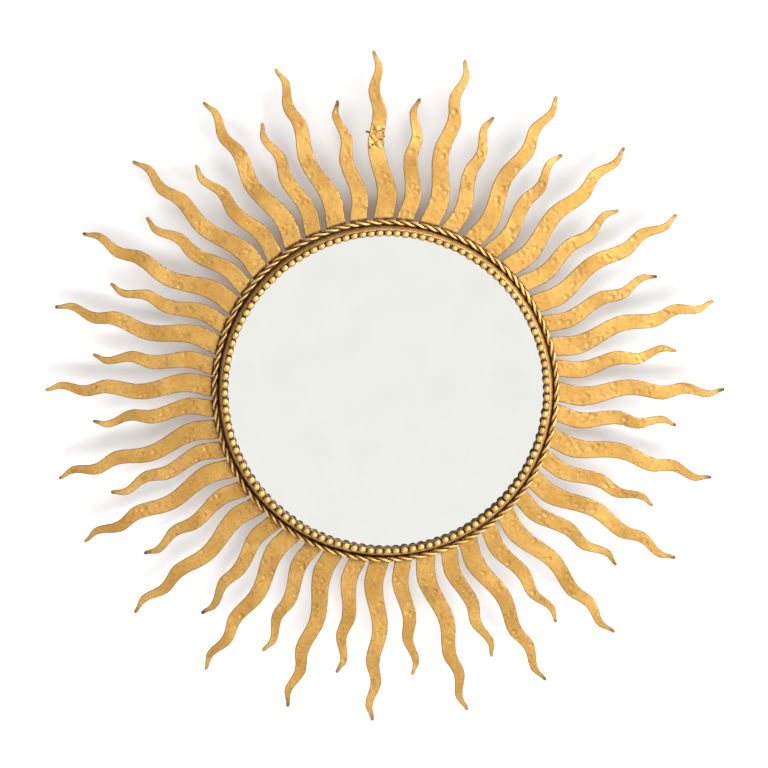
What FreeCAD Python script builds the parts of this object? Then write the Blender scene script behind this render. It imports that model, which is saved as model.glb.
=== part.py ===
import FreeCAD, Part
import Sketcher
import math
import os

Vector = FreeCAD.Vector
Rotation = FreeCAD.Rotation
Placement = FreeCAD.Placement

# Sunburst wall mirror. Front faces -Y, up is +Z, and the wall plane is y = 0.
# The origin is the centre of the back ring's rear face. Lengths in mm, angles in degrees.
# "Depth" is the distance in front of the wall, "radius" the distance from the mirror's axis.

SIZES = {
    # Glass and the board behind it
    "glass_radius": 162.0,
    "glass_thickness": 4.0,
    "glass_clearance": 0.3,
    "board_thickness": 3.0,
    "board_recess": 2.6,
    # Flat iron ring that carries everything
    "bore_clearance": 1.5,
    "ring_width": 7.5,
    "ring_thickness": 4.0,
    # Bent tabs in the bore of the ring
    "tab_sheet": 0.8,
    "tab_width": 10.0,
    "tab_reach": 11.0,
    "tab_recess": 0.4,
    "bore_gap": 0.1,
    # Bezel: a raised band, folded over at the crest and down to the glass
    "bezel_sheet": 0.8,
    "bezel_rise": 5.3,
    "lip_width": 6.2,
    # Beads along the lip
    "bead_width": 5.8,
    "bead_height": 4.8,
    "bead_pitch": 8.42,
    "bead_gap": 0.1,
    "bead_overhang": 0.2,
    # Two wires twisted into a ring over the ray roots
    "rope_wire": 2.7,
    "rope_lay": 22.1,
    "rope_overhang": 1.3,
    "rope_gap": 0.3,
    # Flame rays
    "ray_sheet": 1.5,
    "ray_gap": 2.7,
    "root_gap": 1.7,
    "long_ray_length": 168.5,
    "long_ray_sway": 9.8,
    "short_ray_length": 123.4,
    "short_ray_sway": 9.85,
    "lean_pivot": 12.7,
    "burst_shift_left": 0.5,
    "burst_shift_up": 1.0,
    "seat_drift_angle": 2.4,
    "ray_lean_angle": 3.0,
    # Hanging wire behind the top long ray
    "hook_wire": 2.0,
    "hook_gap": 0.3,
    "eye_radius": 5.0,
    "eye_bend_radius": 2.5,
    "eye_neck_gap": 1.0,
    "hook_left_tail": 7.0,
    "hook_right_tail": 4.5,
    "hook_tilt_angle": -16.0,
}

# Flame patterns: shares of the ray's length, of its sway and of its root width at each bend,
# and the number of straight cuts between one bend and the next.
LONG_STATION_SHARES = (0.0, 0.1577, 0.4526, 0.6381, 0.7709, 0.9057, 1.0)
LONG_CENTRE_SHARES = (0.294, -0.1, 0.94, 0.49, 1.0, 0.5, 0.97)
LONG_WIDTH_SHARES = (0.959, 0.945, 0.76, 0.68, 0.54, 0.355, 0.14)
LONG_CUT_COUNTS = (1, 3, 3, 2, 2, 2)
SHORT_STATION_SHARES = (0.0, 0.2146, 0.5294, 0.6822, 0.891, 1.0)
SHORT_CENTRE_SHARES = (0.293, -0.155, 0.59, 0.285, 1.0, 0.6)
SHORT_WIDTH_SHARES = (0.955, 0.9, 0.75, 0.61, 0.375, 0.16)
SHORT_CUT_COUNTS = (1, 3, 3, 3, 2)
LONG_ROOT_SHARE = 0.5285
SHORT_ROOT_SHARE = 0.4715

# Hand-made unevenness: shares of the seat drift and of the lean, ray by ray counter-clockwise.
LONG_DRIFT_SHARES = (0.2, 0.4, 0.4, 0.35, 0.5, 0.6, 0.95, 1.0, 0.8, 0.5, 0.15, -0.2,
                     -0.45, -0.95, -0.85, -0.85, -0.7, -0.5, -0.3, -0.3, -0.2, -0.2, -0.1, 0.1)
SHORT_DRIFT_SHARES = (0.1, 0.25, 0.35, 0.4, 0.5, 0.55, 0.7, 0.9, 0.85, 0.5, 0.25, -0.05,
                      -0.5, -0.85, -0.95, -0.75, -0.7, -0.55, -0.5, -0.25, -0.25, -0.25, -0.2, 0.1)
LONG_LEAN_SHARES = (0.0, 0.35, -0.1, -0.5, 0.3, 0.4, 1.0, -0.35, 0.35, 0.75, 0.15, 0.25,
                    1.0, -0.5, -0.75, -0.25, -0.15, -0.65, 0.0, -0.4, -1.0, 0.1, 0.1, -0.05)
SHORT_LEAN_SHARES = (0.15, 0.0, -0.2, 0.15, 0.05, -0.3, 0.15, -0.05, 0.2, 0.1, 0.4, 0.5,
                     -0.15, 0.2, -0.65, 0.3, -0.5, -0.6, -0.65, -0.2, -0.65, 0.65, -0.5, 0.35)
LONG_FIRST_ANGLE = 13.4
SHORT_FIRST_ANGLE = 6.35
RAY_PAIR_COUNT = len(LONG_DRIFT_SHARES)
FULL_TURN_ANGLE = 360.0

# Bead section: five corners as shares of the bead's width and height, and the waist between beads.
BEAD_RADIAL_SHARES = (-0.38, 0.38, 0.5, 0.0, -0.5)
BEAD_HEIGHT_SHARES = (0.0, 0.0, 0.55, 1.0, 0.55)
BEAD_WAIST_SHARE = 0.45

# Rope section: a square as a share of the wire's thickness, and sections per turn of twist.
ROPE_SQUARE_SHARE = 0.65
ROPE_SECTION_COUNT = 4

TAB_COUNT = 8
HOOK_SIDE_COUNT = 6
HOOK_STEP_COUNT = 7
HOOK_RAY_INDEX = 5
HOOK_BEND_INDEX = 2
HOOK_BEND_SHARE = 0.32

# Sheet of driving sizes
doc = FreeCAD.newDocument("sunburst_mirror")
sheet = doc.addObject("Spreadsheet::Sheet", "Sizes")
for row, (alias, number) in enumerate(SIZES.items(), start=1):
    sheet.set(f"A{row}", alias)
    sheet.set(f"B{row}", str(number))
    sheet.setAlias(f"B{row}", alias)
doc.recompute()

# Sizes that follow from the sheet, as expressions shared by every piece that meets there
RING_BORE = "(Sizes.glass_radius + Sizes.bore_clearance)"
RING_OUTER = f"({RING_BORE} + Sizes.ring_width)"
GLASS_BACK = "(Sizes.board_recess + Sizes.board_thickness)"
GLASS_FRONT = f"({GLASS_BACK} + Sizes.glass_thickness)"
LIP_BACK = f"({GLASS_FRONT} + Sizes.glass_clearance)"
LIP_FRONT = f"({LIP_BACK} + Sizes.bezel_rise)"
LIP_UNDER = f"({LIP_FRONT} - Sizes.bezel_sheet)"
CREST_INNER = "(Sizes.glass_radius + Sizes.glass_clearance)"
CREST_OUTER = f"({CREST_INNER} + Sizes.bezel_sheet)"
LIP_INNER = f"({CREST_OUTER} - Sizes.lip_width)"
FOLD_INNER = f"({LIP_INNER} + Sizes.bezel_sheet)"
ROPE_OUTER = f"({RING_OUTER} + Sizes.rope_overhang)"
FOOT_OUTER = f"({ROPE_OUTER} - 2 * Sizes.rope_wire - Sizes.rope_gap)"
FOOT_INNER = f"({FOOT_OUTER} - Sizes.bezel_sheet)"
RAY_ROOT = f"({FOOT_OUTER} + Sizes.root_gap)"
RAY_FRONT = "(Sizes.ring_thickness + Sizes.ray_sheet)"
ROOT_WIDTHS = f"(2 * pi * {RAY_ROOT} / {RAY_PAIR_COUNT} - 2 * Sizes.ray_gap)"
TAB_OUTER = f"(sqrt(pow({RING_BORE} - Sizes.bore_gap; 2) - pow(Sizes.tab_width / 2; 2)))"


def value(expression):
    return float(sheet.evalExpression(expression))


def add_sketch(body, name, role):
    sketch = body.newObject("Sketcher::SketchObject", name)
    plane = next(item for item in body.Origin.OriginFeatures if item.Role == role)
    sketch.AttachmentSupport = [(plane, "")]
    sketch.MapMode = "FlatFace"
    return sketch


def add_circle(sketch, radius):
    index = sketch.addGeometry(Part.Circle(Vector(), Vector(0, 0, 1), value(radius)))
    sketch.addConstraint(Sketcher.Constraint("Coincident", index, 3, -1, 1))
    constraint = sketch.addConstraint(Sketcher.Constraint("Radius", index, value(radius)))
    sketch.setExpression(f"Constraints[{constraint}]", radius)


def add_polygon(sketch, corners):
    points = [Vector(value(x), value(y), 0) for x, y in corners]
    sides = []
    for start, end in zip(points, points[1:] + points[:1]):
        sides.append(sketch.addGeometry(Part.LineSegment(start, end)))
    for side, following in zip(sides, sides[1:] + sides[:1]):
        sketch.addConstraint(Sketcher.Constraint("Coincident", side, 2, following, 1))
    for side, corner in zip(sides, corners):
        for kind, expression in zip(("DistanceX", "DistanceY"), corner):
            pin = Sketcher.Constraint(kind, -1, 1, side, 1, value(expression))
            constraint = sketch.addConstraint(pin)
            sketch.setExpression(f"Constraints[{constraint}]", expression)


def add_disc(label, radii, thickness, back):
    body = doc.addObject("PartDesign::Body", label)
    sketch = add_sketch(body, f"{label}_outline", "XZ_Plane")
    for radius in radii:
        add_circle(sketch, radius)
    pad = body.newObject("PartDesign::Pad", f"{label}_pad")
    pad.Profile = sketch
    pad.setExpression("Length", thickness)
    body.setExpression("Placement.Base.y", f"-{back}")
    return body


# Profiles with x as radius and y as depth
def add_profile(body, name, corners):
    sketch = add_sketch(body, name, "XY_Plane")
    sketch.AttachmentOffset = Placement(Vector(), Rotation(Vector(1, 0, 0), 180))
    add_polygon(sketch, corners)
    return sketch


def add_bezel(label):
    body = doc.addObject("PartDesign::Body", label)
    sketch = add_profile(body, f"{label}_profile", [
        (FOOT_INNER, "Sizes.ring_thickness"),
        (FOOT_OUTER, "Sizes.ring_thickness"),
        (CREST_OUTER, LIP_FRONT),
        (LIP_INNER, LIP_FRONT),
        (LIP_INNER, LIP_BACK),
        (FOLD_INNER, LIP_BACK),
        (FOLD_INNER, LIP_UNDER),
        (CREST_INNER, LIP_UNDER),
    ])
    turned = body.newObject("PartDesign::Revolution", f"{label}_turned")
    turned.Profile = sketch
    turned.ReferenceAxis = (sketch, ["V_Axis"])
    turned.Angle = FULL_TURN_ANGLE
    return body


def add_tabs(label):
    body = doc.addObject("PartDesign::Body", label)
    body.AllowCompound = True
    finger_back = "(Sizes.board_recess - Sizes.tab_sheet)"
    leg_inner = f"({TAB_OUTER} - Sizes.tab_sheet)"
    finger_end = f"({TAB_OUTER} - Sizes.tab_reach)"
    sketch = add_profile(body, f"{label}_profile", [
        (TAB_OUTER, "Sizes.tab_recess"),
        (TAB_OUTER, "Sizes.board_recess"),
        (finger_end, "Sizes.board_recess"),
        (finger_end, finger_back),
        (leg_inner, finger_back),
        (leg_inner, "Sizes.tab_recess"),
    ])
    pad = body.newObject("PartDesign::Pad", f"{label}_pad")
    pad.Profile = sketch
    pad.Midplane = True
    pad.setExpression("Length", "Sizes.tab_width")
    pattern = body.newObject("PartDesign::PolarPattern", f"{label}_pattern")
    pattern.Originals = [pad]
    pattern.Axis = (sketch, ["V_Axis"])
    pattern.Angle = FULL_TURN_ANGLE
    pattern.Occurrences = TAB_COUNT
    body.Tip = pattern
    return body


# Flame outline: the centre line swings smoothly from bend to bend and the width tapers
def flame_point(stations, centres, widths, bend, share):
    ease = (1 - math.cos(math.pi * share)) / 2
    station = stations[bend] + (stations[bend + 1] - stations[bend]) * share
    centre = centres[bend] + (centres[bend + 1] - centres[bend]) * ease
    width = widths[bend] + (widths[bend + 1] - widths[bend]) * share
    return station, centre, width


def flame_outline(name, kind, root_share, stations, centres, widths, cuts):
    points = []
    for bend, count in enumerate(cuts):
        for cut in range(count):
            points.append(flame_point(stations, centres, widths, bend, cut / count))
    points.append((stations[-1], centres[-1], widths[-1]))
    right, left = [], []
    for station, centre, width in points:
        along = f"{RAY_ROOT} + Sizes.{kind}_ray_length * {station:.4f}"
        middle = f"Sizes.{kind}_ray_sway * {centre:.4f}"
        half = f"{ROOT_WIDTHS} * {root_share * width / 2:.5f}"
        right.append((along, f"{middle} - {half}"))
        left.append((along, f"{middle} + {half}"))
    sketch = doc.addObject("Sketcher::SketchObject", name)
    sketch.Placement = Placement(Vector(), Rotation(Vector(1, 0, 0), 90))
    sketch.setExpression("Placement.Base.y", "-Sizes.ring_thickness")
    add_polygon(sketch, right + left[::-1])
    return sketch


# Where a ray sits: leaned about a point near its root, turned to its seat, and moved with the
# whole burst, whose centre lies a little up and left of the ring's
def ray_placement(seat, lean):
    pivot = Vector(value(f"{RAY_ROOT} + Sizes.lean_pivot"), 0, 0)
    front = Vector(0, -1, 0)
    leaned = Placement(pivot, Rotation(front, lean)) * Placement(-pivot, Rotation())
    burst = Vector(-value("Sizes.burst_shift_left"), 0, value("Sizes.burst_shift_up"))
    return Placement(burst, Rotation(front, seat)) * leaned


def add_rays(kind, outline, first_angle, drift_shares, lean_shares):
    rays = []
    pitch_angle = FULL_TURN_ANGLE / RAY_PAIR_COUNT
    for index, (drift, lean) in enumerate(zip(drift_shares, lean_shares)):
        seat = first_angle + pitch_angle * index + drift * value("Sizes.seat_drift_angle")
        ray = doc.addObject("Part::Extrusion", f"{kind}_ray_{index + 1:02d}")
        ray.Base = outline
        ray.DirMode = "Normal"
        ray.Solid = True
        ray.setExpression("LengthFwd", "Sizes.ray_sheet")
        ray.Placement = ray_placement(seat, lean * value("Sizes.ray_lean_angle"))
        rays.append(ray)
    return rays


# One section of a ring-shaped piece, its corners given as (radius, depth)
def ring_section(angle, corners):
    across, up = math.cos(angle), math.sin(angle)
    return [Vector(radius * across, -depth, radius * up) for radius, depth in corners]


def closed_polygon(points):
    return Part.makePolygon(points + points[:1])


def add_shape(label, shape):
    feature = doc.addObject("Part::Feature", label)
    feature.Shape = shape
    feature.Placement = Placement()
    return feature


# Solid between neighbouring sections of equal corner count, skinned with flat triangles
def skinned_solid(sections, followers, end_caps=()):
    faces = [Part.Face(closed_polygon(cap)) for cap in end_caps]
    for here, there in zip(sections, followers):
        for start in range(len(here)):
            end = (start + 1) % len(here)
            faces.append(Part.Face(closed_polygon([here[start], here[end], there[end]])))
            faces.append(Part.Face(closed_polygon([here[start], there[end], there[start]])))
    shell = Part.Shell(faces)
    shell.sewShape()
    solid = Part.Solid(shell)
    if solid.Volume < 0:
        solid.reverse()
    return solid


def add_rope_strand(label, start_angle):
    wire = value("Sizes.rope_wire")
    ring_radius = value(f"{ROPE_OUTER} - Sizes.rope_wire")
    ring_depth = value(f"{RAY_FRONT} + Sizes.rope_gap + Sizes.rope_wire")
    turns = round(2 * math.pi * ring_radius / value("Sizes.rope_lay"))
    half = ROPE_SQUARE_SHARE * wire / 2
    twist_radius = wire - half
    sections = []
    for step in range(turns * ROPE_SECTION_COUNT):
        angle = 2 * math.pi * step / (turns * ROPE_SECTION_COUNT)
        twist = math.radians(start_angle) - turns * angle
        radius = ring_radius + twist_radius * math.cos(twist)
        depth = ring_depth + twist_radius * math.sin(twist)
        corners = [(radius + half, depth + half), (radius - half, depth + half),
                   (radius - half, depth - half), (radius + half, depth - half)]
        sections.append(closed_polygon(ring_section(angle, corners)))
    return add_shape(label, Part.makeLoft(sections, True, True, True))


def add_bead_border(label):
    ring_radius = value(f"{LIP_INNER} + Sizes.bead_width / 2 - Sizes.bead_overhang")
    base_depth = value(f"{LIP_FRONT} + Sizes.bead_gap")
    beads = round(2 * math.pi * ring_radius / value("Sizes.bead_pitch"))
    sections = []
    for step in range(2 * beads):
        swell = 1.0 if step % 2 else BEAD_WAIST_SHARE
        corners = []
        for radial_share, height_share in zip(BEAD_RADIAL_SHARES, BEAD_HEIGHT_SHARES):
            radius = ring_radius + swell * radial_share * value("Sizes.bead_width")
            depth = base_depth + swell * height_share * value("Sizes.bead_height")
            corners.append((radius, depth))
        sections.append(ring_section(math.pi * step / beads, corners))
    return add_shape(label, skinned_solid(sections, sections[1:] + sections[:1]))


# Hanging wire: two tails and an open eye, bent in one plane just behind its ray.
# Across runs to the right and along runs to the tip, seen from the front with the ray upright.
# A stop is a point of the wire's centre line and the direction to its right-hand side.
def bend_stops(across, along, radius, start, end, hand):
    stops = []
    for step in range(HOOK_STEP_COUNT + 1):
        turn = start + (end - start) * step / HOOK_STEP_COUNT
        out_across, out_along = math.sin(turn), -math.cos(turn)
        stops.append((across + radius * out_across, along + radius * out_along,
                      hand * out_across, hand * out_along))
    return stops


def add_hanging_wire(label, ray):
    half_wire = value("Sizes.hook_wire") / 2
    eye = value("Sizes.eye_radius")
    bend = value("Sizes.eye_bend_radius")
    depth = value("Sizes.ring_thickness - Sizes.hook_gap - Sizes.hook_wire / 2")
    bend_across = bend + half_wire + value("Sizes.eye_neck_gap") / 2
    eye_rise = bend + math.sqrt((eye + bend) ** 2 - bend_across ** 2)
    neck = math.atan2(bend_across, eye_rise - bend)
    stops = [(-bend_across - value("Sizes.hook_left_tail"), 0, 0, -1)]
    stops += bend_stops(-bend_across, bend, bend, 0, math.pi - neck, 1)
    stops += bend_stops(0, eye_rise, eye, -neck, neck - 2 * math.pi, -1)[1:-1]
    stops += bend_stops(bend_across, bend, bend, neck - math.pi, 0, 1)
    stops.append((bend_across + value("Sizes.hook_right_tail"), 0, 0, -1))
    sections = []
    for across, along, right_across, right_along in stops:
        corners = []
        for side in range(HOOK_SIDE_COUNT):
            turn = math.pi / 2 + 2 * math.pi * side / HOOK_SIDE_COUNT
            right, front = half_wire * math.cos(turn), half_wire * math.sin(turn)
            corners.append(Vector(along + right * right_along, -depth - front,
                                  -across - right * right_across))
        sections.append(corners)
    feature = add_shape(label, skinned_solid(sections[:-1], sections[1:], (sections[0], sections[-1])))
    station, centre, width = flame_point(LONG_STATION_SHARES, LONG_CENTRE_SHARES, LONG_WIDTH_SHARES,
                                         HOOK_BEND_INDEX, HOOK_BEND_SHARE)
    along = value(f"{RAY_ROOT} + Sizes.long_ray_length * {station}")
    across = value(f"Sizes.long_ray_sway * {centre}")
    tilt = Rotation(Vector(0, -1, 0), value("Sizes.hook_tilt_angle"))
    feature.Placement = ray.Placement * Placement(Vector(along, 0, across), tilt)
    return feature


# Pieces, from the wall forward
long_outline = flame_outline("long_ray_outline", "long", LONG_ROOT_SHARE, LONG_STATION_SHARES,
                             LONG_CENTRE_SHARES, LONG_WIDTH_SHARES, LONG_CUT_COUNTS)
short_outline = flame_outline("short_ray_outline", "short", SHORT_ROOT_SHARE, SHORT_STATION_SHARES,
                              SHORT_CENTRE_SHARES, SHORT_WIDTH_SHARES, SHORT_CUT_COUNTS)
pieces = [
    add_disc("back_ring", (RING_BORE, RING_OUTER), "Sizes.ring_thickness", "0"),
    add_tabs("retaining_tabs"),
    add_disc("backing_board", ("Sizes.glass_radius",), "Sizes.board_thickness", "Sizes.board_recess"),
    add_disc("mirror_glass", ("Sizes.glass_radius",), "Sizes.glass_thickness", GLASS_BACK),
    add_bezel("bezel"),
    add_bead_border("bead_border"),
    add_rope_strand("rope_strand_one", 90.0),
    add_rope_strand("rope_strand_two", 270.0),
]
long_rays = add_rays("long", long_outline, LONG_FIRST_ANGLE, LONG_DRIFT_SHARES, LONG_LEAN_SHARES)
short_rays = add_rays("short", short_outline, SHORT_FIRST_ANGLE, SHORT_DRIFT_SHARES, SHORT_LEAN_SHARES)
pieces += long_rays + short_rays
pieces.append(add_hanging_wire("hanging_wire", long_rays[HOOK_RAY_INDEX]))
doc.recompute()

# Nothing is written unless every object is sound
for item in doc.Objects:
    if "Invalid" in item.State or "Error" in item.State:
        raise RuntimeError(f"{item.Name} did not build: {item.State}")
for piece in pieces:
    if piece.Shape.isNull() or not piece.Shape.isValid() or not piece.Shape.Solids:
        raise RuntimeError(f"{piece.Label} has no sound solid")
os.makedirs("parts", exist_ok=True)
for piece in pieces:
    piece.Shape.exportStep(f"parts/{piece.Label}.step")
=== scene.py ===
import math

import bpy
import numpy as np
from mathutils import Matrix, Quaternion, Vector


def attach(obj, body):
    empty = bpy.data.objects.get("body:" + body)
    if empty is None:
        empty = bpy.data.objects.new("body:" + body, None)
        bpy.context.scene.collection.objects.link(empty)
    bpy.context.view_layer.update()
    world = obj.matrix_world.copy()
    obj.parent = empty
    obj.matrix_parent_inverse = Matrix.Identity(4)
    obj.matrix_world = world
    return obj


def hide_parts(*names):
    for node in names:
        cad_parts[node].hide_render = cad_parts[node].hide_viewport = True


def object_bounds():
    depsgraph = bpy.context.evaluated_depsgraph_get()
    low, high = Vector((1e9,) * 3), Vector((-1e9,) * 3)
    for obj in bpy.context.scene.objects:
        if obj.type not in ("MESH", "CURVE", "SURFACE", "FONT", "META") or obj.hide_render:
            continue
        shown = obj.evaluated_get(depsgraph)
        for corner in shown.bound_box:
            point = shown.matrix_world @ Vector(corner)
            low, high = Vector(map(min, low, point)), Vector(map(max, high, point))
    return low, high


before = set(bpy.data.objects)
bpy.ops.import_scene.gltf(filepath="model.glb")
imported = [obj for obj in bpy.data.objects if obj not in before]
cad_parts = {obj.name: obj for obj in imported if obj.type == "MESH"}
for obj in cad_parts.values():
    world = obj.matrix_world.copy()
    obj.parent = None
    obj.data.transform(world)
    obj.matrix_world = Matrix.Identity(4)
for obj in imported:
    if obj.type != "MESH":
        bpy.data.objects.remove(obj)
cad_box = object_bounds()

# Sunburst wall mirror. Front faces -Y, up is +Z, the wall plane is y = 0.
# Shapes are worked out in millimetres as (radius, angle, depth) or (along, across, depth)
# and written to the meshes in metres.
MM = 0.001
TURN = 2 * math.pi

# Flame patterns. Length, sway and root width are in millimetres. Stations are shares of the length, centres
# are shares of the sway and widths are shares of the root width. "first" is the first ray's seat in degrees
# counter-clockwise from +X, and drift and lean are each ray's own small shift and turn.
LONG = {
    "length": 168.5, "sway": 9.8, "root": 20.43,
    "stations": (0.0, 0.1577, 0.4526, 0.6381, 0.7709, 0.9057, 1.0),
    "centres": (0.294, -0.1, 0.94, 0.49, 1.0, 0.5, 0.97),
    "widths": (0.959, 0.945, 0.76, 0.68, 0.54, 0.355, 0.14),
    "first": 13.4,
    "drift": (0.2, 0.4, 0.4, 0.35, 0.5, 0.6, 0.95, 1.0, 0.8, 0.5, 0.15, -0.2,
              -0.45, -0.95, -0.85, -0.85, -0.7, -0.5, -0.3, -0.3, -0.2, -0.2, -0.1, 0.1),
    "lean": (0.0, 0.35, -0.1, -0.5, 0.3, 0.4, 1.0, -0.35, 0.35, 0.75, 0.15, 0.25,
             1.0, -0.5, -0.75, -0.25, -0.15, -0.65, 0.0, -0.4, -1.0, 0.1, 0.1, -0.05),
}
SHORT = {
    "length": 123.4, "sway": 9.85, "root": 18.23,
    "stations": (0.0, 0.2146, 0.5294, 0.6822, 0.891, 1.0),
    "centres": (0.293, -0.155, 0.59, 0.285, 1.0, 0.6),
    "widths": (0.955, 0.9, 0.75, 0.61, 0.375, 0.16),
    "first": 6.35,
    "drift": (0.1, 0.25, 0.35, 0.4, 0.5, 0.55, 0.7, 0.9, 0.85, 0.5, 0.25, -0.05,
              -0.5, -0.85, -0.95, -0.75, -0.7, -0.55, -0.5, -0.25, -0.25, -0.25, -0.2, 0.1),
    "lean": (0.15, 0.0, -0.2, 0.15, 0.05, -0.3, 0.15, -0.05, 0.2, 0.1, 0.4, 0.5,
             -0.15, 0.2, -0.65, 0.3, -0.5, -0.6, -0.65, -0.2, -0.65, 0.65, -0.5, 0.35),
}
RAY_COUNT, RAY_STEP = 24, 15
DRIFT_DEGREES, LEAN_DEGREES = 2.4, 3.0
RAY_ROOT = 168.3
LEAN_PIVOT = 181.0
RAY_BACK, RAY_FRONT = 4.0, 5.5
BURST_RIGHT, BURST_UP = -0.5, 1.0

# The long ray with the hanging wire, counted from 0, and where the wire crosses one stretch of its flame
HOOK_RAY, HOOK_STRETCH, HOOK_SHARE = 5, 2, 0.32

# Ring pieces: distances from the axis, depths in front of the wall and half thicknesses
ROPE_RADIUS, ROPE_DEPTH, ROPE_LAY, ROPE_HALF = 169.6, 8.5, 1.35, 1.31
BEAD_RADIUS, BEAD_SEAT, BEAD_HALF, BEAD_RISE = 159.6, 15.3, 2.9, 4.6
GLASS_RADIUS, GLASS_BACK, GLASS_FRONT, GLASS_SEAM = 162.0, 5.6, 9.6, 0.5
WIRE_DEPTH, WIRE_HALF = 2.7, 1.0


# Eased step from 0 at low to 1 at high, where low may be the larger
def smooth(low, high, number):
    share = np.clip((number - low) / (high - low), 0, 1)
    return share * share * (3 - 2 * share)


def round_steps(count):
    return TURN * np.arange(count) / count


def ray_seat(flame, index):
    return flame["first"] + RAY_STEP * index + DRIFT_DEGREES * flame["drift"][index]


# Meshes: points in millimetres, faces as index rows, one float layer per named shade
def make_piece(name, points, faces, shades, material, replaced, sharp_angle):
    points = np.asarray(points, float) * MM
    mesh = bpy.data.meshes.new(name)
    mesh.from_pydata(points.tolist(), [], faces)
    mesh.validate()
    mesh.update()
    for shade, numbers in shades.items():
        layer = mesh.attributes.new(shade, "FLOAT", "POINT")
        layer.data.foreach_set("value", np.clip(numbers, 0, 1).astype(np.float32).ravel())
    mesh.polygons.foreach_set("use_smooth", [True] * len(mesh.polygons))
    mesh.set_sharp_from_angle(angle=math.radians(sharp_angle))
    mesh.materials.append(material)
    piece = bpy.data.objects.new(name, mesh)
    bpy.context.scene.collection.objects.link(piece)
    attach(piece, "root")
    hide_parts(*replaced)


def on_ring(radius, angle, depth):
    return np.stack([radius * np.cos(angle), -depth, radius * np.sin(angle)], -1)


# Faces of a closed grid that wraps both ways: rings of points, each ring a closed section
def torus_faces(rings, sides):
    faces = []
    for ring in range(rings):
        following = (ring + 1) % rings
        for side in range(sides):
            beside = (side + 1) % sides
            faces.append((ring * sides + side, ring * sides + beside,
                          following * sides + beside, following * sides + side))
    return faces


# Faces of a tube of closed sections, capped at both ends
def tube_faces(rings, sides):
    faces = []
    for ring in range(rings - 1):
        for side in range(sides):
            beside = (side + 1) % sides
            faces.append((ring * sides + side, ring * sides + beside,
                          (ring + 1) * sides + beside, (ring + 1) * sides + side))
    faces.append(tuple(range(sides))[::-1])
    faces.append(tuple((rings - 1) * sides + side for side in range(sides)))
    return faces


# The same faces, turned round where the shape would be inside out
def outward(points, faces):
    volume = 0.0
    for face in faces:
        first = points[face[0]]
        for here, there in zip(face[1:], face[2:]):
            volume += np.dot(first, np.cross(points[here], points[there]))
    return faces if volume > 0 else [face[::-1] for face in faces]


# From a ray's own frame (along it, counter-clockwise across it) to its seat on the ring
def seated(along, across, depth, flame, index):
    seat, lean = math.radians(ray_seat(flame, index)), math.radians(LEAN_DEGREES * flame["lean"][index])
    shifted = along - LEAN_PIVOT
    leaned_along = LEAN_PIVOT + shifted * math.cos(lean) - across * math.sin(lean)
    leaned_across = shifted * math.sin(lean) + across * math.cos(lean)
    right = BURST_RIGHT + leaned_along * math.cos(seat) - leaned_across * math.sin(seat)
    up = BURST_UP + leaned_along * math.sin(seat) + leaned_across * math.cos(seat)
    return np.stack([right, -depth, up], -1).reshape(-1, 3)


# Materials by nodes. Noise is in object coordinates, so its scales are per metre
class Shader:
    def __init__(self, name):
        self.material = bpy.data.materials.new(name)
        self.material.use_nodes = True
        self.tree = self.material.node_tree
        self.main = self.tree.nodes["Principled BSDF"]
        self.coordinates = self.add("ShaderNodeTexCoord").outputs["Object"]

    def add(self, kind, **settings):
        node = self.tree.nodes.new(kind)
        for key, setting in settings.items():
            setattr(node, key, setting)
        return node

    def feed(self, socket, source):
        if isinstance(source, bpy.types.NodeSocket):
            self.tree.links.new(source, socket)
        else:
            socket.default_value = source

    def noise(self, scale, detail, roughness):
        node = self.add("ShaderNodeTexNoise")
        self.feed(node.inputs["Vector"], self.coordinates)
        node.inputs["Scale"].default_value = scale
        node.inputs["Detail"].default_value = detail
        node.inputs["Roughness"].default_value = roughness
        return node.outputs["Fac"]

    def shade(self, name):
        return self.add("ShaderNodeAttribute", attribute_name=name).outputs["Fac"]

    def span(self, source, low, high, to_low=0.0, to_high=1.0):
        node = self.add("ShaderNodeMapRange")
        node.interpolation_type = "SMOOTHSTEP"
        self.feed(node.inputs["Value"], source)
        for key, number in zip(("From Min", "From Max", "To Min", "To Max"), (low, high, to_low, to_high)):
            node.inputs[key].default_value = number
        return node.outputs["Result"]

    def math(self, operation, first, second, clamp=False):
        node = self.add("ShaderNodeMath", operation=operation, use_clamp=clamp)
        self.feed(node.inputs[0], first)
        self.feed(node.inputs[1], second)
        return node.outputs[0]

    def mix(self, share, first, second):
        node = self.add("ShaderNodeMix", data_type="RGBA")
        self.feed(node.inputs["Factor"], share)
        sockets = [item for item in node.inputs if item.type == "RGBA"]
        for socket, colour in zip(sockets, (first, second)):
            self.feed(socket, colour if isinstance(colour, bpy.types.NodeSocket) else (*colour, 1.0))
        return next(item for item in node.outputs if item.type == "RGBA")

    def bump(self, height, strength, distance, normal=None):
        node = self.add("ShaderNodeBump")
        node.inputs["Strength"].default_value = strength
        node.inputs["Distance"].default_value = distance
        self.feed(node.inputs["Height"], height)
        if normal:
            self.feed(node.inputs["Normal"], normal)
        return node.outputs["Normal"]

    def finish(self, **sockets):
        for key, source in sockets.items():
            self.feed(self.main.inputs[key.replace("_", " ")], source)
        return self.material


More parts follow.
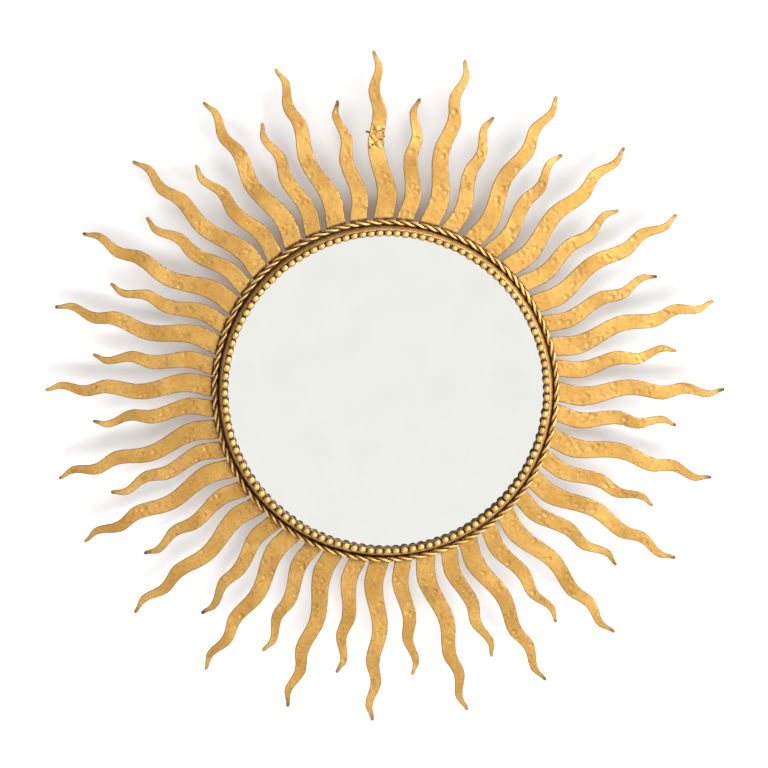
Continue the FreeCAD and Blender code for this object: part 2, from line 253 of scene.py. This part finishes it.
# Gilding on hammered iron: two golds in blotches, brown speckle, then dark patina and painted shade from one
# shade layer, and a painted highlight of lighter gold from another
def gilt(name, light, middle, speckle, dark):
    shader = Shader(name)
    blotch = shader.noise(34.0, 4.0, 0.6)
    grain = shader.noise(330.0, 5.0, 0.68)
    pores = shader.noise(1100.0, 3.0, 0.6)
    patina_and_shade = shader.shade("patina_and_shade")
    ridge_highlight = shader.shade("ridge_highlight")
    colour = shader.mix(shader.span(blotch, 0.36, 0.64), middle, light)
    colour = shader.mix(shader.span(grain, 0.44, 0.74, 0.0, 0.8), colour, speckle)
    colour = shader.mix(shader.span(ridge_highlight, 0.45, 1.0, 0.0, 0.4), colour, light)
    ragged = shader.math("MULTIPLY", patina_and_shade, shader.span(grain, 0.3, 0.62, 0.62, 1.5), clamp=True)
    colour = shader.mix(ragged, colour, dark)
    rough = shader.span(grain, 0.3, 0.7, 0.5, 0.64)
    rough = shader.math("ADD", rough, shader.math("MULTIPLY", ragged, 0.22))
    metal = shader.math("SUBTRACT", 1.0, shader.math("MULTIPLY", ragged, 0.55))
    normal = shader.bump(grain, 0.18, 0.0004)
    normal = shader.bump(pores, 0.12, 0.0002, normal)
    return shader.finish(Base_Color=colour, Roughness=rough, Metallic=metal, Normal=normal)


def bare_iron(name):
    grey, rust, black = (0.085, 0.07, 0.06), (0.17, 0.085, 0.04), (0.03, 0.026, 0.024)
    shader = Shader(name)
    blotch = shader.noise(160.0, 4.0, 0.65)
    grain = shader.noise(900.0, 4.0, 0.7)
    colour = shader.mix(shader.span(blotch, 0.4, 0.66), grey, rust)
    colour = shader.mix(shader.span(grain, 0.55, 0.75, 0.0, 0.6), colour, black)
    normal = shader.bump(grain, 0.3, 0.0003)
    return shader.finish(Base_Color=colour, Roughness=shader.span(blotch, 0.3, 0.7, 0.5, 0.78),
                         Metallic=shader.span(blotch, 0.4, 0.7, 0.8, 0.35), Normal=normal)


def silvered_glass(name):
    clear, hazed, spotted = (0.93, 0.93, 0.885), (0.905, 0.905, 0.86), (0.78, 0.77, 0.71)
    shader = Shader(name)
    haze = shader.noise(26.0, 5.0, 0.62)
    specks = shader.noise(210.0, 2.0, 0.5)
    colour = shader.mix(shader.span(haze, 0.35, 0.7), clear, hazed)
    colour = shader.mix(shader.span(specks, 0.72, 0.82, 0.0, 0.35), colour, spotted)
    rough = shader.span(haze, 0.3, 0.8, 0.012, 0.03)
    return shader.finish(Base_Color=colour, Metallic=1.0, Roughness=rough)


def hardboard(name):
    dark, light, fibre = (0.2, 0.105, 0.048), (0.265, 0.15, 0.072), (0.1, 0.052, 0.024)
    shader = Shader(name)
    fibres = shader.noise(420.0, 5.0, 0.7)
    cloud = shader.noise(18.0, 3.0, 0.5)
    weave = shader.add("ShaderNodeTexVoronoi", feature="F1")
    shader.feed(weave.inputs["Vector"], shader.coordinates)
    weave.inputs["Scale"].default_value = 900.0
    colour = shader.mix(shader.span(cloud, 0.3, 0.7), dark, light)
    colour = shader.mix(shader.span(fibres, 0.45, 0.72, 0.0, 0.7), colour, fibre)
    normal = shader.bump(weave.outputs["Distance"], 0.25, 0.0003)
    normal = shader.bump(fibres, 0.3, 0.0003, normal)
    rough = shader.span(fibres, 0.3, 0.7, 0.72, 0.9)
    return shader.finish(Base_Color=colour, Roughness=rough, Normal=normal)


# Golds in the order light, middle, speckle and dark (used for patina and for painted shade)
RAY_GOLDS = (0.69, 0.418, 0.123), (0.58, 0.33, 0.087), (0.44, 0.235, 0.06), (0.07, 0.038, 0.019)
# The ring golds are lighter than the ray golds for the same gilt, to make up for less lamp light on the ring:
# painted light
RING_GOLDS = (0.95, 0.59, 0.2), (0.8, 0.47, 0.14), (0.46, 0.25, 0.075), (0.065, 0.037, 0.021)
ray_gilt = gilt("gilt_iron_rays", *RAY_GOLDS)
ring_gilt = gilt("gilt_iron_ring", *RING_GOLDS)
iron = bare_iron("bare_iron_wire")
glass = silvered_glass("silvered_glass_front")
board = hardboard("hardboard_back")


# Centre line and half width of a flame: the centre swings in eased waves, the width changes evenly
def flame_lines(flame, station):
    stations, centres, widths = (np.array(flame[key]) for key in ("stations", "centres", "widths"))
    bend = np.clip(np.searchsorted(stations, station, side="right") - 1, 0, len(stations) - 2)
    share = (station - stations[bend]) / (stations[bend + 1] - stations[bend])
    ease = (1 - np.cos(np.pi * share)) / 2
    centre = flame["sway"] * (centres[bend] + (centres[bend + 1] - centres[bend]) * ease)
    half = flame["root"] / 2 * (widths[bend] + (widths[bend + 1] - widths[bend]) * share)
    return centre, half


# Hammer marks: each is a shallow bowl, and the lowest bowl at a point is the surface
def hammer_marks(seed, along, across, pitch):
    scatter, row_step, unstruck = 0.33, 0.86, 9.0
    chance = np.random.default_rng(seed)
    marks = []
    row = 0
    position = along.min() - pitch
    while position < along.max() + pitch:
        column = across.min() - pitch + (row % 2) * pitch / 2
        while column < across.max() + pitch:
            marks.append((position + chance.uniform(-scatter, scatter) * pitch,
                          column + chance.uniform(-scatter, scatter) * pitch,
                          chance.uniform(15, 30), chance.uniform(0, 0.16)))
            column += pitch
        position += pitch * row_step
        row += 1
    height = np.full(along.shape, unstruck)
    for centre_along, centre_across, bowl, start in marks:
        distance = (along - centre_along) ** 2 + (across - centre_across) ** 2
        height = np.minimum(height, distance / (2 * bowl) + start)
    return height


# Distinct round blows in groups: a bowl with a low raised rim, and a ring of painted shade just inside the
# rim
def punch_marks(chance, along, across, centre, half, groups):
    rows, root_rows, tip_rows = len(along), 6, 12
    height, rings = np.zeros_like(along), np.zeros_like(along)
    for _ in range(groups):
        where = int(rows * chance.beta(1.1, 1.9))
        where = min(max(where, root_rows), rows - tip_rows)
        for _ in range(chance.integers(1, 4)):
            at_along = along[where, 0] + chance.uniform(-9, 9)
            at_across = centre[where] + chance.uniform(-0.85, 0.85) * half[where]
            radius = chance.uniform(2.3, 3.7)
            depth = chance.uniform(0.14, 0.4)
            distance = np.hypot(along - at_along, across - at_across)
            bowl = np.clip(1 - (distance / radius) ** 2, 0, 1) ** 1.5
            height += -depth * bowl + 0.3 * depth * np.exp(-((distance - radius) / 0.75) ** 2)
            rings = np.maximum(rings, 0.8 * depth * np.exp(-((distance - radius * 0.85) / 0.5) ** 2))
    return np.clip(height, -0.5, 0.25), rings


# Brazed patch where the hanging wire is held: big and small lumps, then dark pits
def braze_patch(chance, along, across, front, patina_and_shade, patch):
    at_along, at_across, reach = patch
    inside = smooth(reach, reach * 0.55, np.abs(along - at_along + 0.3 * (across - at_across)))
    for size, height, count in ((3.2, 0.9, 30), (1.8, 0.75, 70)):
        for _ in range(count):
            spot = (at_along + chance.uniform(-1, 1) * reach, at_across + chance.uniform(-9, 9))
            lump = size * chance.uniform(0.6, 1.15)
            distance = np.hypot(along - spot[0], (across - spot[1]) * chance.uniform(0.7, 1.2))
            front = front + height * chance.uniform(-0.8, 1.0) * smooth(lump, lump * 0.2, distance) * inside
    for _ in range(26):
        spot = (at_along + chance.uniform(-0.85, 0.85) * reach, at_across + chance.uniform(-8, 8))
        distance = np.hypot((along - spot[0]) * 1.5, across - spot[1])
        pit = smooth(chance.uniform(1.3, 2.6), 0.3, distance) * inside
        front = front - 0.6 * pit
        patina_and_shade = np.maximum(patina_and_shade, 0.85 * pit)
    return front, patina_and_shade


# Faces of a sheet with a grid of points on its front and the same grid on its back, joined round the border
def sheet_faces(rows, columns):
    back = rows * columns
    faces = []
    for row in range(rows - 1):
        for column in range(columns - 1):
            here, beyond = row * columns + column, (row + 1) * columns + column
            faces.append((here, beyond, beyond + 1, here + 1))
            faces.append((back + here + 1, back + beyond + 1, back + beyond, back + here))
    border = [row * columns for row in range(rows)]
    border += [(rows - 1) * columns + column for column in range(1, columns)]
    border += [row * columns + columns - 1 for row in range(rows - 2, -1, -1)]
    border += list(range(columns - 2, 0, -1))
    for here, there in zip(border, border[1:] + border[:1]):
        faces.append((there, here, back + here, back + there))
    return faces


# Columns across a ray as shares of its half width, rows along it and the last rows before its tip
EDGE_COLUMNS = np.array([-1, -0.965, -0.9, -0.8, -0.69, -0.57, -0.44, -0.31, -0.18, -0.06])
COLUMNS = np.concatenate([EDGE_COLUMNS, -EDGE_COLUMNS[::-1]])
ROW_PITCH = 1.05
TIP_ROWS = np.array([0.9, 0.55, 0.3, 0.125, 0.0])
PUNCH_PITCH = 17


# Flame ray: hammered sheet
def flame_ray(name, flame, index, seed, brazed=None):
    chance = np.random.default_rng(1000 + seed)
    length = flame["length"]
    station = np.linspace(0, 1, int(length / ROW_PITCH))[:-1]
    station = np.unique(np.round(np.concatenate([station, 1 - TIP_ROWS / length]), 6))
    centre, half = flame_lines(flame, station)
    # The tip is rounded off over the last stretch
    tip = half[-1] * 1.05
    left_over = length * (1 - station)
    half = half * np.sqrt(np.clip(1 - (1 - np.clip(left_over / tip, 0, 1)) ** 2, 0.035, 1))
    along = np.repeat(RAY_ROOT + length * station[:, None], len(COLUMNS), 1)
    across = centre[:, None] + half[:, None] * COLUMNS[None, :]
    edge = half[:, None] * (1 - np.abs(COLUMNS))[None, :]
    run = np.repeat(station[:, None], len(COLUMNS), 1)

    # Marks fade out at the cut edges and towards the root, which lies flat on the ring
    dents = hammer_marks(seed, along, across, chance.uniform(5.6, 7.2))
    blows, rings = punch_marks(chance, along, across, centre, half, int(length / PUNCH_PITCH))
    # Raised hammer ridges, which the gilt turns into a painted highlight of lighter gold
    ridge_highlight = np.clip(dents / 0.9 + blows * 1.6, 0, 1)
    phase, wave = chance.uniform(0, TURN, 3), chance.uniform(0.8, 1.25, 3)
    sag = 0.55 * np.sin(TURN * wave[0] * 1.6 * run + phase[0])
    sag += 0.3 * np.sin(TURN * wave[1] * 3.1 * run + phase[1])
    sag += 0.07 * across * np.sin(TURN * wave[2] * 2.2 * run + phase[2])
    sag *= smooth(0.1, 0.4, run) * 0.8
    calm = smooth(0.0, 1.2, edge) * smooth(172.5, 176, along)
    front = RAY_FRONT - 0.12 + ((np.minimum(dents, 0.6) - 0.2) * 0.3 + blows) * calm + sag
    front -= 0.28 * np.exp(-(edge / 0.3) ** 2)
    back = RAY_BACK + 0.3 * np.clip(dents - 0.1, 0, 0.5) * smooth(172, 180, along) + sag
    back += 0.25 * np.exp(-(edge / 0.35) ** 2) * smooth(171, 176, along)

    # Dark patina: worn tips and stains. Painted shade: the roots under the twisted ring and the rings in the
    # punch bowls. The cut edges are darker as worn gilt and partly as painted edge shade.
    wear = chance.uniform(0.1, 0.8)
    worn_tip = wear * smooth(chance.uniform(6, 13), 0.5, left_over)[:, None] * np.ones_like(run)
    stains = np.zeros_like(run)
    for _ in range(chance.integers(2, 6)):
        where = chance.integers(8, len(station) - 4)
        reach = chance.uniform(1.5, 4.5)
        spot = centre[where] + chance.uniform(-0.8, 0.8) * half[where]
        distance = np.hypot((along - along[where, 0]) * chance.uniform(0.5, 1), across - spot)
        stains = np.maximum(stains, chance.uniform(0.06, 0.3) * smooth(reach, reach * 0.2, distance))
    rim = 0.85 * np.exp(-(edge / 0.5) ** 2)
    root = 0.9 * smooth(173.6, 171.6, along)
    patina_and_shade = np.maximum.reduce([worn_tip, stains, rim, root, rings])
    if brazed:
        front, patina_and_shade = braze_patch(chance, along, across, front, patina_and_shade, brazed)
    back_patina = np.maximum(patina_and_shade * 0.6, 0.26 + 0.1 * smooth(0.6, 0.2, ridge_highlight))

    sheet = (np.stack([along, along]), np.stack([across, across]), np.stack([front, back]))
    points = seated(*sheet, flame, index)
    shades = {"patina_and_shade": np.concatenate([patina_and_shade.ravel(), back_patina.ravel()]),
              "ridge_highlight": np.concatenate([ridge_highlight.ravel(), 0.3 * ridge_highlight.ravel()])}
    node = name.replace("flame", "ray")
    make_piece(name, points, sheet_faces(*along.shape), shades, ray_gilt, [node], 55.0)


stretch_start, stretch_end = LONG["stations"][HOOK_STRETCH:HOOK_STRETCH + 2]
hook_station = stretch_start + (stretch_end - stretch_start) * HOOK_SHARE
hook_along = RAY_ROOT + LONG["length"] * hook_station
hook_across = float(flame_lines(LONG, np.array([hook_station]))[0][0])
hook_patch = (hook_along - 3.5, hook_across, 12.5)
for index in range(RAY_COUNT):
    patch = hook_patch if index == HOOK_RAY else None
    flame_ray(f"long_flame_{index + 1:02d}", LONG, index, 10 + index, patch)
    flame_ray(f"short_flame_{index + 1:02d}", SHORT, index, 50 + index)


# Twisted ring: two round wires laid round each other, tight and a little uneven
def twisted_wire(name, start, node, phase):
    turns, steps, sides = 48, 18, 12
    angle = round_steps(turns * steps)
    uneven = 0.28 * np.sin(5 * angle + 0.7) + 0.2 * np.sin(11 * angle + 2.1) + 0.12 * np.sin(23 * angle)
    twist = start - turns * angle + uneven
    radius = ROPE_RADIUS + 0.12 * np.sin(7 * angle + 1.0)
    middle = on_ring(radius + ROPE_LAY * np.cos(twist), angle, ROPE_DEPTH + ROPE_LAY * np.sin(twist))
    tangent = np.roll(middle, -1, 0) - np.roll(middle, 1, 0)
    tangent /= np.linalg.norm(tangent, axis=1)[:, None]
    outer = np.stack([np.cos(twist) * np.cos(angle), -np.sin(twist), np.cos(twist) * np.sin(angle)], -1)
    outer -= tangent * np.sum(outer * tangent, 1)[:, None]
    outer /= np.linalg.norm(outer, axis=1)[:, None]
    beside = np.cross(tangent, outer)
    turn = round_steps(sides)
    thick = ROPE_HALF + 0.04 * np.sin(31 * angle + phase)
    section = np.cos(turn)[None, :, None] * outer[:, None] + np.sin(turn)[None, :, None] * beside[:, None]
    points = (middle[:, None] + thick[:, None, None] * section).reshape(-1, 3)
    faces = outward(points, torus_faces(len(angle), sides))
    # Painted shade on the side of each wire facing the other wire and along the stretches that lie behind,
    # towards the wall; painted highlight on the outward crown of each wire
    facing = np.repeat(np.cos(turn)[None], len(angle), 0)
    behind = np.repeat((np.sin(twist) < -0.2)[:, None], sides, 1)
    patina_and_shade = np.maximum(0.8 * smooth(0.25, -0.45, facing), 0.45 * behind)
    shades = {"patina_and_shade": patina_and_shade, "ridge_highlight": smooth(0.5, 1.0, facing)}
    make_piece(name, points, faces, shades, ring_gilt, [node], 80.0)


twisted_wire("twisted_wire_one", math.radians(90), "rope_strand_one", 0.3)
twisted_wire("twisted_wire_two", math.radians(270), "rope_strand_two", 2.3)


# A closed gilt ring from grids of radius and depth with one row per angle
def ring_piece(name, radius, angle, depth, patina_and_shade, ridge_highlight, node, sharp_angle):
    points = on_ring(radius, angle[:, None], depth).reshape(-1, 3)
    faces = outward(points, torus_faces(*depth.shape))
    shades = {"patina_and_shade": patina_and_shade, "ridge_highlight": ridge_highlight}
    make_piece(name, points, faces, shades, ring_gilt, [node], sharp_angle)


# Bead border: domed beads on one stamped strip, drawn in to a waist and a saddle between two beads
def bead_string(name):
    beads, steps = 119, 14
    waist, saddle = 0.3, 0.22
    chance = np.random.default_rng(7)
    place = np.arange(beads * steps) / steps
    number = np.floor(place).astype(int)
    size = chance.uniform(0.93, 1.05, beads)[number]
    sideways = chance.uniform(-0.18, 0.18, beads)[number]
    offset = place - number - 0.5
    dome = np.sqrt(np.clip(1 - (offset / 0.45) ** 2, 0, 1))
    swell = waist + (size - waist) * dome
    rise = saddle + (size - saddle) * dome
    # Section of a bead: a dome, a little wider towards the glass, on a flat foot
    section = np.linspace(0, np.pi, 13)
    across = np.cos(section) * np.where(np.cos(section) < 0, 1.28, 1.0)
    radial = np.concatenate([across, [-0.72, 0.72]])
    height = np.concatenate([0.12 + 0.88 * np.sin(section) ** 0.75, [0, 0]])
    raised = rise[:, None] * height[None]
    radius = BEAD_RADIUS + sideways[:, None] + BEAD_HALF * swell[:, None] * radial[None]
    depth = BEAD_SEAT + BEAD_RISE * raised
    # Painted shade on the low sides of each bead and in the waist between beads, over an even light patina;
    # painted highlight on the bead tops
    low = smooth(0.8, 0.45, raised)
    between = smooth(0.56, 0.34, swell)[:, None] * np.ones_like(depth)
    patina_and_shade = np.maximum.reduce([0.9 * low, 0.9 * between, np.full_like(depth, 0.12)])
    ridge_highlight = smooth(0.75, 0.97, raised)
    ring_piece(name, radius, TURN * place / beads, depth, patina_and_shade, ridge_highlight, "bead_border", 70.0)


bead_string("bead_string")

# Bezel as radius, depth and painted shade: up the outer side, over the crest, in along the lip under the
# beads, down to the glass and back up behind the lip. The shade is darkest at the foot and under the lip, and
# least over the crest
BEZEL_PROFILE = np.array([
    (165.8, 4.0, 1.0), (166.6, 4.0, 1.0), (166.2, 5.4, 0.95), (165.7, 7.0, 0.8), (165.15, 8.8, 0.7),
    (164.6, 10.5, 0.5), (164.05, 12.2, 0.38), (163.6, 13.8, 0.3), (163.25, 14.7, 0.26), (162.8, 15.1, 0.3),
    (162.2, 15.2, 0.45), (161.4, 15.2, 0.7), (159.6, 15.2, 0.95), (157.6, 15.2, 0.9), (157.1, 15.05, 0.75),
    (156.9, 14.6, 0.7), (156.9, 12.4, 0.75), (156.9, 10.2, 0.9), (157.0, 9.95, 0.9), (157.5, 9.95, 0.9),
    (157.7, 10.3, 0.9), (157.7, 14.4, 0.9), (162.2, 14.4, 0.9),
])

# Carrying ring as radius, depth and patina, and how far the braze swells three points of its outer side
RING_PROFILE = np.array([
    (163.5, 0.35, 0.6), (163.85, 0.0, 0.5), (170.65, 0.0, 0.45), (171.0, 0.35, 0.5), (171.0, 1.5, 0.55),
    (171.0, 2.6, 0.4), (171.0, 3.65, 0.35), (170.65, 4.0, 0.8), (163.85, 4.0, 0.9), (163.5, 3.65, 0.8),
])
BRAZE_SWELL = {4: 0.25, 5: 0.9, 6: 1.2}


# Radius, depth and patina grids of a profile carried round the axis
def turned(profile, count):
    return (np.repeat(profile[None, :, part], count, 0) for part in range(3))


# The bezel is bent by hand, so it wobbles a little
def bezel_band(name):
    wobble, phase = 0.16, 1.3
    angle = round_steps(480)
    radius, depth, patina_and_shade = turned(BEZEL_PROFILE, len(angle))
    uneven = 0.5 * np.sin(9 * angle + phase) + 0.3 * np.sin(23 * angle + 2 * phase) + 0.3 * np.sin(41 * angle)
    radius += wobble * uneven[:, None]
    # Painted highlight of lighter gold where the painted shade is least, over the crest
    ring_piece(name, radius, angle, depth, patina_and_shade, np.clip(0.4 - patina_and_shade, 0, 1), "bezel", 45.0)


bezel_band("bezel_band")


# Carrying ring with its flat corners eased and a braze run along the outer edge at each ray
def carrying_ring(name):
    angle = round_steps(720)
    radius, depth, patina_and_shade = turned(RING_PROFILE, len(angle))
    chance = np.random.default_rng(21)
    braze = np.zeros(len(angle))
    for index in range(RAY_COUNT):
        for flame, reach in ((LONG, 2.3), (SHORT, 2.0)):
            seat = math.radians(ray_seat(flame, index))
            away = np.abs((angle - seat + np.pi) % TURN - np.pi)
            lumps = 0.75 + 0.25 * np.sin(angle * 340 + chance.uniform(0, TURN))
            near = smooth(math.radians(reach), math.radians(reach * 0.6), away)
            braze = np.maximum(braze, chance.uniform(0.75, 1.1) * lumps * near)
    for column, share in BRAZE_SWELL.items():
        radius[:, column] += share * braze
        patina_and_shade[:, column] -= 0.3 * braze
    uneven = 0.1 * np.sin(13 * angle + 0.4) + 0.08 * np.sin(37 * angle)
    radius += uneven[:, None]
    ring_piece(name, radius, angle, depth, patina_and_shade, np.zeros_like(patina_and_shade), "back_ring", 50.0)


carrying_ring("carrying_ring")


# Glass disc with seamed edges: rings 0 to 5 run from the rear of the edge to the middle of the front, rings
# 6 to 8 from the middle of the back to the rear of the edge
def glass_disc(name):
    count = 240
    angle = round_steps(count)
    seam = GLASS_RADIUS - GLASS_SEAM
    profile = [(GLASS_RADIUS, GLASS_BACK + GLASS_SEAM), (GLASS_RADIUS, GLASS_FRONT - GLASS_SEAM),
               (seam, GLASS_FRONT), (158.0, GLASS_FRONT), (120.0, GLASS_FRONT), (60.0, GLASS_FRONT),
               (60.0, GLASS_BACK), (120.0, GLASS_BACK), (seam, GLASS_BACK)]
    rings = [on_ring(radius, angle, np.full(count, depth)) for radius, depth in profile]
    points = np.concatenate(rings + [np.array([[0.0, -GLASS_FRONT, 0.0], [0.0, -GLASS_BACK, 0.0]])])
    front, rear = len(points) - 2, len(points) - 1
    faces = []
    for here, there in ((8, 0), (0, 1), (1, 2), (2, 3), (3, 4), (4, 5), (6, 7), (7, 8)):
        for step in range(count):
            following = (step + 1) % count
            faces.append((here * count + step, here * count + following,
                          there * count + following, there * count + step))
    for step in range(count):
        following = (step + 1) % count
        faces.append((5 * count + step, 5 * count + following, front))
        faces.append((6 * count + following, 6 * count + step, rear))
    faces = outward(points, faces)
    make_piece(name, points, faces, {}, glass, ["mirror_glass"], 30.0)


glass_disc("silvered_disc")


# Hanging wire: two tails and an open eye behind the top long ray, round and smoothly bent
def hanging_wire(name):
    eye, bend, neck_gap = 5.0, 2.5, 1.0
    left_tail, right_tail, end_half = 7.0, 4.5, 0.72
    tilt = math.radians(-16.0)
    sides = 12
    bend_across = bend + WIRE_HALF + neck_gap / 2
    eye_rise = bend + math.sqrt((eye + bend) ** 2 - bend_across ** 2)
    neck = math.atan2(bend_across, eye_rise - bend)

    def arc(across, along, radius, begin, end, count):
        turn = np.linspace(begin, end, count)
        return np.stack([across + radius * np.sin(turn), along - radius * np.cos(turn)], -1)

    left = np.stack([np.linspace(-bend_across - left_tail, -bend_across, 10)[:-1], np.zeros(9)], -1)
    right = np.stack([np.linspace(bend_across, bend_across + right_tail, 8)[1:], np.zeros(7)], -1)
    line = np.concatenate([
        left,
        arc(-bend_across, bend, bend, 0, math.pi - neck, 12),
        arc(0, eye_rise, eye, -neck, neck - TURN, 40)[1:-1],
        arc(bend_across, bend, bend, neck - math.pi, 0, 12),
        right,
    ])
    tangent = np.gradient(line, axis=0)
    tangent /= np.linalg.norm(tangent, axis=1)[:, None]
    side = np.stack([tangent[:, 1], -tangent[:, 0]], -1)
    turn = round_steps(sides)
    thick = np.full(len(line), WIRE_HALF)
    thick[[0, -1]] = end_half
    across = line[:, None, 0] + thick[:, None] * np.cos(turn)[None] * side[:, None, 0]
    along = line[:, None, 1] + thick[:, None] * np.cos(turn)[None] * side[:, None, 1]
    depth = WIRE_DEPTH + thick[:, None] * np.sin(turn)[None]
    # Into the ray's own frame (along the ray, counter-clockwise across), tilted, then seated with the ray
    ray_along = hook_along + along * math.cos(tilt) + across * math.sin(tilt)
    ray_across = hook_across + along * math.sin(tilt) - across * math.cos(tilt)
    points = seated(ray_along, ray_across, depth, LONG, HOOK_RAY)
    faces = outward(points, tube_faces(len(line), sides))
    make_piece(name, points, faces, {}, iron, ["hanging_wire"], 50.0)


hanging_wire("tied_wire")

# Board and tabs keep their own shapes and take finished materials
for node, material in (("backing_board", board), ("retaining_tabs", iron)):
    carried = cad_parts[node]
    carried.data.materials.clear()
    carried.data.materials.append(material)

# Stage: pale floor and pale backdrop, in metres
STAGE_HALF, STAGE_TOP, STAGE_FRONT = 14, 9.0, -0.9
PALE = (0.73, 0.73, 0.73)
floor_z = cad_box[0].z - 0.001


def matt(name):
    shader = Shader(name)
    shader.main.inputs["Roughness"].default_value = 0.9
    shader.main.inputs["Specular IOR Level"].default_value = 0.0
    return shader


def floor_paint(name):
    shader = matt(name)
    mottle = shader.noise(3.0, 2.0, 0.5)
    tone = tuple(number * 0.985 for number in PALE)
    return shader.finish(Base_Color=shader.mix(mottle, PALE, tone))


# Clear where it is seen from behind
def wall_paint(name):
    shader = matt(name)
    shader.main.inputs["Base Color"].default_value = (*PALE, 1.0)
    clear = shader.add("ShaderNodeBsdfTransparent")
    side = shader.add("ShaderNodeNewGeometry")
    blend = shader.add("ShaderNodeMixShader")
    shader.feed(blend.inputs[0], side.outputs["Backfacing"])
    shader.feed(blend.inputs[1], shader.main.outputs[0])
    shader.feed(blend.inputs[2], clear.outputs[0])
    shader.feed(shader.tree.nodes["Material Output"].inputs["Surface"], blend.outputs[0])
    return shader.material


def stage_plane(name):
    corners = [(-STAGE_HALF, -STAGE_HALF, floor_z), (STAGE_HALF, -STAGE_HALF, floor_z),
               (STAGE_HALF, STAGE_HALF, floor_z), (-STAGE_HALF, STAGE_HALF, floor_z)]
    mesh = bpy.data.meshes.new(name)
    mesh.from_pydata(corners, [], [(0, 1, 2, 3)])
    mesh.update()
    mesh.materials.append(floor_paint("pale_floor"))
    plane = bpy.data.objects.new(name, mesh)
    bpy.context.scene.collection.objects.link(plane)
    return plane


# Backdrop: a pale wall a little behind the mirror, eased into the floor. It is seen from its front only. It
# shows in no reflection, throws no light on other pieces and casts no shadow, so the mirror's back stays
# open to view and to light.
def backdrop(name, gap, ease):
    low = floor_z + 0.0004
    turn = np.linspace(0, np.pi / 2, 13)
    line = [(STAGE_FRONT, low)]
    line += [(gap - ease + ease * math.sin(t), low + ease * (1 - math.cos(t))) for t in turn]
    line += [(gap, STAGE_TOP)]
    corners = [(x, y, z) for y, z in line for x in (-STAGE_HALF, STAGE_HALF)]
    faces = [(2 * row, 2 * row + 1, 2 * row + 3, 2 * row + 2) for row in range(len(line) - 1)]
    mesh = bpy.data.meshes.new(name)
    mesh.from_pydata(corners, [], faces)
    mesh.polygons.foreach_set("use_smooth", [True] * len(mesh.polygons))
    mesh.update()
    mesh.materials.append(wall_paint("pale_wall"))
    wall = bpy.data.objects.new(name, mesh)
    bpy.context.scene.collection.objects.link(wall)
    for way in ("diffuse", "glossy", "transmission", "volume_scatter", "shadow"):
        setattr(wall, f"visible_{way}", False)
    return wall


floor = stage_plane("floor")
wall = backdrop("backdrop", gap=0.095, ease=0.04)

# Light
world = bpy.data.worlds.new("studio")
bpy.context.scene.world = world
world.use_nodes = True
background = world.node_tree.nodes["Background"]
background.inputs["Color"].default_value = (1.0, 1.0, 1.0, 1.0)
background.inputs["Strength"].default_value = 0.3


# A round lamp: place, aim and size in metres, energy in watts
def soft_light(name, place, aim, size, energy):
    lamp = bpy.data.lights.new(name, "AREA")
    lamp.shape = "DISK"
    lamp.size = size
    lamp.energy = energy
    light = bpy.data.objects.new(name, lamp)
    light.location = place
    light.rotation_mode = "QUATERNION"
    light.rotation_quaternion = (Vector(aim) - Vector(place)).to_track_quat("-Z", "Y")
    bpy.context.scene.collection.objects.link(light)
    return light


def group_of(name, *objects):
    group = bpy.data.collections.new(name)
    for item in objects:
        group.objects.link(item)
    return group


# Lamps for the mirror leave the stage out
all_but_stage = group_of("all_but_stage", wall, floor)
for item in all_but_stage.collection_objects:
    item.light_linking.link_state = "EXCLUDE"
for lamp in (soft_light("key", (1.5, -1.5, 0.95), (0, 0, 0), size=1.25, energy=104.0),
             soft_light("front", (0, -4.6, 2.6), (0, -1.0, -0.2), size=1.6, energy=15.0),
             soft_light("rear", (0.8, 2.6, 1.8), (0, 0, 0), size=1.6, energy=60.0)):
    lamp.light_linking.receiver_collection = all_but_stage

# Lamps for the stage alone: one throws the burst's soft shadow on the wall, one lights floor and wall evenly
wall_only = group_of("wall_only", wall)
wall_lamp = soft_light("wall_lamp", (0.4, -2.6, -0.33), (0, 0, 0), size=1.4, energy=200.0)
wall_lamp.light_linking.receiver_collection = wall_only
even = bpy.data.lights.new("floor_lamp", "SUN")
even.energy = 3.1
floor_lamp = bpy.data.objects.new("floor_lamp", even)
floor_lamp.location = (0, 0, 5)
bpy.context.scene.collection.objects.link(floor_lamp)
floor_lamp.light_linking.receiver_collection = group_of("stage_only", wall, floor)
floor_lamp.light_linking.blocker_collection = wall_only

# Camera, a little above the mirror's axis and a touch to its left
pitch, yaw, roll = (math.radians(degrees) for degrees in (9.33, -0.64, 0.12))
reach, aim_left, aim_up = 3.5, 0.0012, 0.0065
middle = Vector((BURST_RIGHT, -RAY_FRONT, BURST_UP)) * MM
toward = Vector((math.sin(yaw) * math.cos(pitch), -math.cos(yaw) * math.cos(pitch), math.sin(pitch)))
right_hand = (-toward).cross(Vector((0, 0, 1))).normalized()
upright = right_hand.cross(-toward)
camera = bpy.data.objects.new("camera", bpy.data.cameras.new("camera"))
camera.data.lens = 165.4
camera.data.sensor_width = 36.0
camera.data.clip_end = 100.0
camera.location = middle + toward * reach
aim = middle - right_hand * aim_left + upright * aim_up
camera.rotation_mode = "QUATERNION"
camera.rotation_quaternion = (aim - camera.location).to_track_quat("-Z", "Y") @ Quaternion((0, 0, 1), roll)
bpy.context.scene.collection.objects.link(camera)
bpy.context.scene.camera = camera
bpy.context.scene.view_settings.view_transform = "Standard"

bpy.context.view_layer.update()
